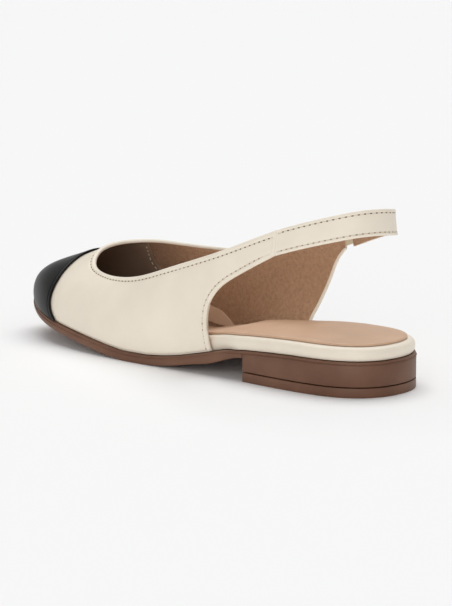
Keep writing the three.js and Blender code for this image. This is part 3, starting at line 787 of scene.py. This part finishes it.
def beads(name, bead, places, along, out):
    """Copies of a bead in one mesh, each turned along its seam and out of the surface."""
    corners, faces = bead
    across = np.cross(out, along)
    spread = (
        places[:, None]
        + corners[None, :, :1] * along[:, None]
        + corners[None, :, 1:2] * across[:, None]
        + corners[None, :, 2:] * out[:, None]
    )
    spread[..., 1] -= HEEL_LENGTH / 2
    count = len(corners)
    copies = [tuple(k * count + i for i in face) for k in range(len(places)) for face in faces]
    mesh = bpy.data.meshes.new(name)
    mesh.from_pydata(spread.reshape(-1, 3).tolist(), [], copies)
    mesh.polygons.foreach_set("use_smooth", [True] * len(copies))
    piece = bpy.data.objects.new(name, mesh)
    bpy.context.scene.collection.objects.link(piece)
    return piece


def at_depth(u, v, distance, depth, from_head):
    """Path on the form where the distance from an edge reaches a depth, column by column."""
    if from_head:
        u, v, distance = u[:, ::-1], v[:, ::-1], distance[:, ::-1]
    path = []
    for column in range(len(u)):
        beyond = np.nonzero(distance[column] >= depth)[0]
        if len(beyond) == 0 or beyond[0] == 0:
            continue
        k = beyond[0]
        t = (depth - distance[column, k - 1]) / (distance[column, k] - distance[column, k - 1])
        path.append([
            u[column, k - 1] + (u[column, k] - u[column, k - 1]) * t,
            v[column, k - 1] + (v[column, k] - v[column, k - 1]) * t,
        ])
    return np.array(path)


def stitch_line(name, path, offset, slot, hole_shade_finish):
    """Thread along a path on the form, short of both its ends, with dark beads of painted shade at the
    needle holes between the stitches.
    """
    points = off_form(path[:, 0], path[:, 1], np.full(len(path), offset))
    run = run_length(points)
    room = run[-1] - 2 * SEAM_END
    count = int(room / STITCH_PITCH)
    middle = SEAM_END + (np.arange(count) + 0.5) * room / count

    def place(at):
        u, v = np.interp(at, run, path[:, 0]), np.interp(at, run, path[:, 1])
        out = form_normal(u, v)
        behind, ahead = (
            np.stack([np.interp(at + step, run, points[:, k]) for k in range(3)], -1)
            for step in (-0.0006, 0.0006)
        )
        along = ahead - behind
        along -= (along * out).sum(-1, keepdims=True) * out
        along /= np.linalg.norm(along, axis=-1, keepdims=True)
        return off_form(u, v, np.full(len(u), offset)), along, out

    stitch = capsule(STITCH_LENGTH, THREAD_WIDTH, THREAD_DEPTH)
    thread = beads(name + "_thread", stitch, *place(middle))
    finish_piece(thread, THREAD, slot)
    # Dark beads of painted shade at the needle holes between the stitches
    hole = capsule(HOLE_LENGTH, HOLE_WIDTH, HOLE_DEPTH)
    holes = beads(name + "_hole_shade", hole, *place(middle + STITCH_PITCH / 2))
    finish_piece(holes, hole_shade_finish, slot)


# The upper
FEET, HEADS = upper_ends()


def upper_distances(u, v):
    """Distances from the topline, the rear edges, the sole and the ends at the strap."""
    points = form(u, v)
    feet = form(FEET[:, 0], FEET[:, 1])
    heads = form(HEADS[:, 0], HEADS[:, 1])
    top = distance_to(points, heads)
    rear = distance_to_edges(points, feet[: EDGE_COUNT + 1], feet[-EDGE_COUNT - 1 :])
    sole = distance_to(points, feet[EDGE_COUNT:-EDGE_COUNT])
    end = distance_to_edges(points, *(np.linspace(feet[k], heads[k], 30) for k in (0, -1)))
    return top, rear, sole, end


def creases(u, v):
    """Soft troughs and ridges: where each starts and ends, how wide and how high it is."""
    points = form(u, v)
    shape = np.zeros(u.shape)
    for start_u, start_v, end_u, end_v, width, height in CREASES:
        line = np.linspace((start_u, start_v), (end_u, end_v), 24)
        path = form(line[:, 0], line[:, 1])
        near = np.exp(-((distance_to(points, path) / width) ** 2))
        shape += height * near
    return shape


def upper_leather():
    """Vamp and quarters, with a rolled topline, hemmed rear edges and soft creases."""
    u, v = grid_between(FEET, HEADS, EDGE_ROWS, EDGE_ROWS, UPPER_ROWS)
    top, rear, sole, end = upper_distances(u, v)
    half = WALL / 2
    edge = np.minimum(np.minimum(top, rear), end)
    fall = rounded(edge, half)
    tucked = 0.0006 * ease(1 - sole / 0.0016)
    throat = ease((form(u, v)[..., 1] / SHOE_LENGTH - 0.5) / 0.25)
    roll = (0.0002 + 0.00028 * throat) * ridge(top, 0.0016, 0.0015)
    roll -= (0.0002 + 0.00012 * throat) * ridge(top, TOPLINE_SEAM, 0.001)
    hem = 0.00015 * ridge(rear, 0.0012, 0.0011) - 0.00018 * ridge(rear, REAR_SEAM, 0.0007)
    outer = roll + hem + creases(u, v) - fall - tucked
    turned = ease((np.minimum(top, rear) - 0.0011) / 0.0006)
    inner = -WALL + fall + (WALL - LEATHER) * turned
    inner = np.where(sole <= 1e-9, outer - 0.0004, inner)
    return finish_piece(shell("upper_leather", u, v, outer, inner), CREAM, "upper", "upper")


def upper_lining():
    """Nap lining against the leather, a little short of its edges."""
    rows = [value + LINING_INSET for value in EDGE_ROWS]
    u, v = grid_between(FEET, HEADS, rows, rows, UPPER_ROWS)
    fall = rounded(rim_distance(form(u, v)), NAP_LINING / 2)
    outer = np.full(u.shape, -LEATHER + LAP) - fall
    inner = np.full(u.shape, -LEATHER + LAP - NAP_LINING) + fall
    return finish_piece(shell("upper_lining", u, v, outer, inner), SUEDE, "upper")


def upper_seams():
    """Stitched rows along the topline and down both rear edges."""
    u, v = grid_between(FEET, HEADS, EDGE_ROWS, EDGE_ROWS, UPPER_ROWS)
    top, rear = upper_distances(u, v)[:2]
    stitch_line("topline", at_depth(u, v, top, TOPLINE_SEAM, True), -TOPLINE_SEAM_SUNK, "upper", PAINTED_HOLE_SHADE)
    near_outer, near_inner = slice(3, EDGE_COUNT + 4), slice(-EDGE_COUNT - 4, -3)
    for side, part in (("outer", near_outer), ("inner", near_inner)):
        path = at_depth(u[part], v[part], rear[part], REAR_SEAM, False)
        stitch_line(side + "_rear_edge", path, -REAR_SEAM_SUNK, "upper", FAINT_PAINTED_HOLE_SHADE)


def forepart_lining():
    """Smooth lining of the forepart, laid over the nap lining as far as its rear edge."""
    inner, outer = np.array(INNER_LINING_EDGE), np.array(OUTER_LINING_EDGE)
    inner_u, inner_v = spline(inner[:, 0], False), spline(inner[:, 1], False)
    outer_u, outer_v = spline(outer[:, 0], False), spline(outer[:, 1], False)
    at = np.linspace(0, len(inner) - 1, 90)
    low = np.stack([outer_u(at), outer_v(at)], -1)
    high = np.stack([inner_u(at), inner_v(at)], -1)
    close = [0, 0.0004, 0.001, 0.002]
    far_close = [0.998, 0.999, 0.9996, 1]
    shares = np.concatenate([close, np.linspace(0.004, 0.996, 150), far_close])
    u = low[:, :1] + (high - low)[:, :1] * shares
    v = low[:, 1:] + (high - low)[:, 1:] * shares
    v = np.clip(v, 0.03, 1)
    points = form(u, v)
    topline = form(HEADS[:, 0], HEADS[:, 1])
    drop = np.clip(0.0016 - distance_to(points, topline), 0, 0.0016)
    rib_piece = form(u, np.minimum(v + 0.01, 1)) - form(u, np.maximum(v - 0.01, 0))
    v = v - drop / (np.linalg.norm(rib_piece, axis=-1) / 0.02)
    fall = rounded(rim_distance(form(u, v)), 0.0003)
    outer_offset = -WALL + 0.0001 - fall
    inner_offset = -WALL - SMOOTH_LINING + fall
    finish_piece(shell("forepart_lining", u, v, outer_offset, inner_offset), TAN, "upper")
    for side, edge_u, edge_v, ahead in (
        ("inner", inner_u, inner_v, -LINING_SEAM_GAP), ("outer", outer_u, outer_v, LINING_SEAM_GAP),
    ):
        at = np.linspace(0.4, 4.6, 60)
        path = np.stack([edge_u(at) + ahead, edge_v(at)], -1)
        stitch_line(side + "_lining_seam", path, -WALL - SMOOTH_LINING, "upper", PAINTED_HOLE_SHADE)


def toe_cap():
    """Cap over the toe of the vamp, with a raised lip and a groove along its rear edge."""
    count = 150
    stations = spline([row[0] for row in CAP_EDGE], False)
    ups = spline([row[1] for row in CAP_EDGE], False)
    at = np.linspace(0, len(CAP_EDGE) - 1, count + 1)[1:-1]
    feet_u = np.linspace(CAP_EDGE[0][0], CAP_EDGE[-1][0], count + 1)[1:-1]
    feet = np.stack([feet_u, np.full(count - 1, CAP_LIFT)], -1)
    heads = np.stack([stations(at), np.maximum(ups(at), CAP_LIFT)], -1)
    u, v = grid_between(feet, heads, EDGE_ROWS[:7], EDGE_ROWS, CAP_ROWS)
    points = form(u, v)
    top = distance_to(points, points[:, -1])
    fall = rounded(rim_distance(points), CAP_WALL / 2)
    lip = 0.0001 * ridge(top, 0.0009, 0.0009) - 0.0003 * ridge(top, 0.002, 0.0006)
    outer = CAP_GAP + CAP_WALL + lip - fall
    inner = CAP_GAP + fall
    return finish_piece(shell("toe_cap_leather", u, v, outer, inner), BLACK, "toe_cap", "toe_cap")


def band_grid(start, end, band_width, count, middle):
    """Grid of a band under the upper edge between two stations."""
    u = np.linspace(start, end, count + 1)
    feet = np.stack([u, band_foot(u, band_width)], -1)
    heads = np.stack([u, np.ones_like(u)], -1)
    return grid_between(feet, heads, EDGE_ROWS[:10], EDGE_ROWS[:10], middle)


def heel_strap():
    """Strap of turned leather round the back, with its two stitched rows and its lining."""
    start = station("head", INNER_JOINT * SHOE_LENGTH - BUTT_GAP / 2, "inner") - RIB_COUNT
    end = station("head", OUTER_JOINT * SHOE_LENGTH - BUTT_GAP / 2, "outer")
    u, v = band_grid(start, end, STRAP_WIDTH, 200, BAND_ROWS)
    points = form(u, v)
    from_top, from_foot = distance_to(points, points[:, -1]), distance_to(points, points[:, 0])
    fall = rounded(rim_distance(points), STRAP_LEATHER / 2)
    puff = 0.0001 * ridge(np.minimum(from_top, from_foot), 0.0009, 0.0008)
    sewn = ridge(from_top, STRAP_TOP_SEAM, 0.0007) + ridge(from_foot, STRAP_FOOT_SEAM, 0.0007)
    outer = STRAP_RISE + puff - 0.00018 * sewn - fall
    top_path = at_depth(u, v, from_top, STRAP_TOP_SEAM, True)
    foot_path = at_depth(u, v, from_foot, STRAP_FOOT_SEAM, False)
    stitch_line("strap_top", top_path, 0.0, "heel_strap", PAINTED_HOLE_SHADE)
    stitch_line("strap_foot", foot_path, 0.0, "heel_strap", FAINT_PAINTED_HOLE_SHADE)
    inner = STRAP_RISE - STRAP_LEATHER + fall
    leather = finish_piece(shell("strap_leather", u, v, outer, inner), CREAM, "heel_strap", "heel_strap")
    rows = [value + 0.0003 for value in EDGE_ROWS[:10]]
    feet = np.stack([u[:, 0], v[:, 0]], -1)
    heads = np.stack([u[:, -1], v[:, -1]], -1)
    u, v = grid_between(feet, heads, rows, rows, BAND_ROWS)
    fall = rounded(rim_distance(form(u, v)), 0.00045)
    outer = STRAP_RISE - STRAP_LEATHER + LAP - fall
    inner = STRAP_RISE - STRAP_WALL + fall
    finish_piece(shell("strap_lining", u, v, outer, inner), SUEDE, "heel_strap")
    return leather


def strap_joint():
    """Fold of leather that covers the outer joint, with two soft upright ridges."""
    joint = station("head", OUTER_JOINT * SHOE_LENGTH, "outer")
    ahead, here = form(np.array(joint + 0.1), np.array(1.0)), form(np.array(joint), np.array(1.0))
    station_length = float(np.linalg.norm(ahead - here)) / 0.1
    half = JOINT_WIDTH / 2 / station_length
    u, v = band_grid(joint - half, joint + half, STRAP_WIDTH - 0.0002, 30, BAND_ROWS)
    points = form(u, v)
    front = distance_to(points, points[-1])
    back = distance_to(points, points[0])
    fall = rounded(rim_distance(points), 0.0004)
    folds = 0.00016 * (ridge(front, 0.0006, 0.0006) + ridge(back, 0.0008, 0.0007))
    outer = 0.00022 + folds - fall
    inner = -0.0006 + fall
    finish_piece(shell("strap_joint_fold", u, v, outer, inner), CREAM, "heel_strap")


def elastic_gore():
    """Ribbed elastic between the strap and the inner quarter."""
    start = station("head", ELASTIC_END * SHOE_LENGTH - BUTT_GAP / 2, "inner")
    end = station("head", INNER_JOINT * SHOE_LENGTH + BUTT_GAP / 2, "inner")
    u, v = band_grid(start, end, ELASTIC_WIDTH, 24, 40)
    points = form(u, v)
    fall = rounded(rim_distance(points), ELASTIC_WALL / 2)
    from_top = distance_to(points, points[:, -1])
    edge = distance_to_edges(points, points[:, -1], points[:, 0])
    ribs = 0.00012 * np.cos(2 * np.pi * from_top / ELASTIC_RIB)
    outer = -ELASTIC_SUNK - fall + ribs * ease(edge / 0.0008)
    inner = -ELASTIC_SUNK - ELASTIC_WALL + fall
    return finish_piece(shell("elastic_weave", u, v, outer, inner), WEAVE, "elastic_gore", "elastic_gore")


# The sole
def between(start, end):
    """Evenly spaced lengths strictly between two bounds."""
    return np.linspace(start, end, max(round((end - start) / SOLE_ROW), 1) + 1)[1:-1]


def outsole():
    """Sole that thins to a plate over the heel block, with a stepped edge round its top."""
    step = HEEL_LENGTH + BUTT_GAP
    back = step - 0.00005
    bevel = 0.0004

    def under(y):
        return np.where(y < step - 0.00001, sole_top(y) - HEEL_PLATE, sole_bottom(y))

    def side(y):
        return under(y) + np.where(y < step - 0.00001, bevel / 2, bevel)

    rows = [between(END_ZONE, back), [back, step], between(step, SHOE_LENGTH - END_ZONE)]
    layers = [
        (bevel, under),
        (0.00012, lambda y: under(y) + bevel * 0.3),
        (0, side),
        (0, lambda y: np.maximum(sole_top(y) - 0.0014, side(y) + 0.00001)),
        (0.00012, lambda y: np.maximum(sole_top(y) - 0.0012, side(y) + 0.00002)),
        (0.0005, lambda y: np.maximum(sole_top(y) - 0.0011, side(y) + 0.00003)),
        (0.0005, lambda y: sole_top(y) - 0.0003),
        (0.0006, lambda y: sole_top(y) - 0.0001),
        (0.0009, sole_top),
    ]
    sole = slab("outsole_moulded", layers, None, np.concatenate(rows))
    return finish_piece(sole, BROWN, "outsole", "outsole")


def heel_piece(name, bottom, top, top_bevel, node_name):
    """Heel block or top lift, with a straight front face and bevelled rims."""
    bevel = 0.0004
    rows = between(END_ZONE, HEEL_LENGTH - 2 * bevel)
    layers = [
        (HEEL_INSET + bevel, bottom),
        (HEEL_INSET + bevel * 0.3, lambda y: bottom(y) + bevel * 0.3),
        (HEEL_INSET, lambda y: bottom(y) + bevel),
        (HEEL_INSET, lambda y: top(y) - top_bevel),
        (HEEL_INSET + top_bevel * 0.25, lambda y: top(y) - top_bevel * 0.25),
        (HEEL_INSET + top_bevel, top),
    ]
    return finish_piece(slab(name, layers, HEEL_LENGTH, rows), BROWN, node_name, node_name)


def footbed():
    """Cream band wrapped round the footbed, bulged at its side and round at its top."""

    def base(y):
        return sole_top(y) + SEAT_GAP

    def layer(extra, share, drop):
        return (
            lambda u: FOOTBED_INSET + extra + tuck(u),
            lambda y: base(y) + (FOOTBED_HEIGHT * share - drop) * footbed_share(y),
        )

    layers = [
        layer(0.0012, 0, 0),
        layer(0.0004, 0, -0.0001),
        layer(0.0001, 0, -0.0006),
        layer(-BAND_BULGE * 0.6, 0.25, 0),
        layer(-BAND_BULGE, 0.45, 0),
        layer(-BAND_BULGE * 0.9, 0.6, 0),
    ]
    for turn in np.radians([15, 30, 45, 60, 75, 90]):
        inset = EDGE_ROUND - (EDGE_ROUND + BAND_BULGE * 0.8) * math.cos(turn)
        layers.append(layer(inset, 1, EDGE_ROUND * (1 - math.sin(turn))))
    rows = between(END_ZONE, SHOE_LENGTH - END_ZONE)
    return finish_piece(slab("footbed_band", layers, None, rows), CREAM, "footbed", "footbed")


def tuck(u):
    """Extra inset of the footbed where it runs inside the upper."""
    full = SOLE_MARGIN + WALL + 2 * SEAT_GAP + BAND_BULGE - FOOTBED_INSET
    place = np.mod(u, RIB_COUNT)
    outer_start = station("foot", 0.3 * SHOE_LENGTH, "outer")
    outer_full = station("foot", 0.365 * SHOE_LENGTH, "outer")
    inner_full = station("foot", 0.29 * SHOE_LENGTH, "inner")
    inner_start = station("foot", 0.225 * SHOE_LENGTH, "inner")
    enter = ease((place - outer_start) / (outer_full - outer_start))
    leave = ease((inner_start - place) / (inner_start - inner_full))
    return full * np.minimum(enter, leave)


def insole_sock():
    """Sock with a soft rim, in a margin of the wrapped band."""

    def base(y):
        return sole_top(y) + FOOTBED_HEIGHT * footbed_share(y) + 2 * SEAT_GAP

    def layer(extra, height):
        return (
            lambda u: FOOTBED_INSET + SOCK_MARGIN + extra + tuck(u) * 0.6,
            lambda y: base(y) + height,
        )

    layers = [
        layer(0, 0),
        layer(0, SOCK_THICKNESS * 0.6),
        layer(0.00015, SOCK_THICKNESS * 0.85),
        layer(0.0005, SOCK_THICKNESS),
    ]
    rows = between(END_ZONE, SHOE_LENGTH - END_ZONE)
    return finish_piece(slab("sock_leather", layers, None, rows), SOCK, "insole_sock", "insole_sock")


upper_leather()
upper_lining()
forepart_lining()
upper_seams()
toe_cap()
heel_strap()
strap_joint()
elastic_gore()
outsole()
heel_piece(
    "heel_block_moulded",
    lambda y: LIFT_THICKNESS + GROOVE_WIDTH + 0 * y,
    lambda y: sole_top(y) - HEEL_PLATE - LAP,
    0.00006,
    "heel_block",
)
heel_piece("top_lift_moulded", lambda y: 0 * y, lambda y: LIFT_THICKNESS + 0 * y, 0.00025, "top_lift")
footbed()
insole_sock()


# Floor, light and camera
FLOOR_SIZE = 40
HORIZON_HEIGHT, HORIZON_STRENGTH = 0.05, 0.92
SKY_HEIGHT, SKY_STRENGTH = 0.35, 0.28
# Each light's name, direction, spread in degrees and strength
LIGHTS = [
    ("overhead softbox", (-0.3, -0.25, -1.0), 60, 1.98),
    ("side softbox", (0.9, 0.45, -0.3), 50, 0.9),
]


def floor():
    """Wide white floor under the shoe."""
    bpy.ops.mesh.primitive_plane_add(size=FLOOR_SIZE)
    plane = bpy.context.object
    plane.name = "floor"
    plane.data.materials.append(plain_finish("white floor", (250, 250, 250)))
    bpy.ops.object.select_all(action="DESELECT")


def plain_finish(name, colour):
    """Matt finish of one colour."""
    finish = bpy.data.materials.new(name)
    finish.use_nodes = True
    shader = finish.node_tree.nodes["Principled BSDF"]
    shader.inputs["Base Color"].default_value = tone(*colour)
    shader.inputs["Roughness"].default_value = 0.9
    shader.inputs["Specular IOR Level"].default_value = 0.1
    return finish


def light(name, direction, spread, strength):
    """Far, wide light that shines along a direction; its spread in degrees softens shadows."""
    bpy.ops.object.light_add(type="SUN", location=(0, 0, 2))
    lamp = bpy.context.object
    lamp.name = name
    lamp.data.angle = math.radians(spread)
    lamp.data.energy = strength
    lamp.rotation_euler = direction_turn(direction)


def direction_turn(direction):
    """Turn of an object whose -Z axis is to point along a direction."""
    return Vector(direction).to_track_quat("-Z", "Y").to_euler()


def studio():
    """Pale world that is brightest at the horizon, and two wide soft lights."""
    world = bpy.data.worlds.new("studio")
    world.use_nodes = True
    tree = world.node_tree
    background = tree.nodes["Background"]
    place = node(tree, "ShaderNodeSeparateXYZ", {0: node(tree, "ShaderNodeTexCoord").outputs["Generated"]})
    heights = {0: place.outputs["Z"], 1: HORIZON_HEIGHT, 2: SKY_HEIGHT}
    sweep = node(tree, "ShaderNodeMapRange", {**heights, 3: HORIZON_STRENGTH, 4: SKY_STRENGTH})
    tree.links.new(sweep.outputs[0], background.inputs["Strength"])
    background.inputs["Color"].default_value = (1, 1, 1, 1)
    bpy.context.scene.world = world
    for settings in LIGHTS:
        light(*settings)
    bpy.context.scene.view_settings.view_transform = "Standard"


def camera():
    """Camera at the photograph's place, turned to the one shoe."""
    bpy.ops.object.camera_add(location=CAMERA_PLACE)
    eye = bpy.context.object
    turn, dip = math.radians(CAMERA_TURN), math.radians(CAMERA_DIP)
    direction = (math.cos(dip) * math.sin(turn), math.cos(dip) * math.cos(turn), -math.sin(dip))
    eye.rotation_euler = direction_turn(direction)
    eye.data.sensor_fit = "VERTICAL"
    eye.data.sensor_height = 36
    eye.data.lens = CAMERA_LENS
    bpy.context.scene.camera = eye


floor()
studio()
camera()

bpy.ops.object.select_all(action="DESELECT")
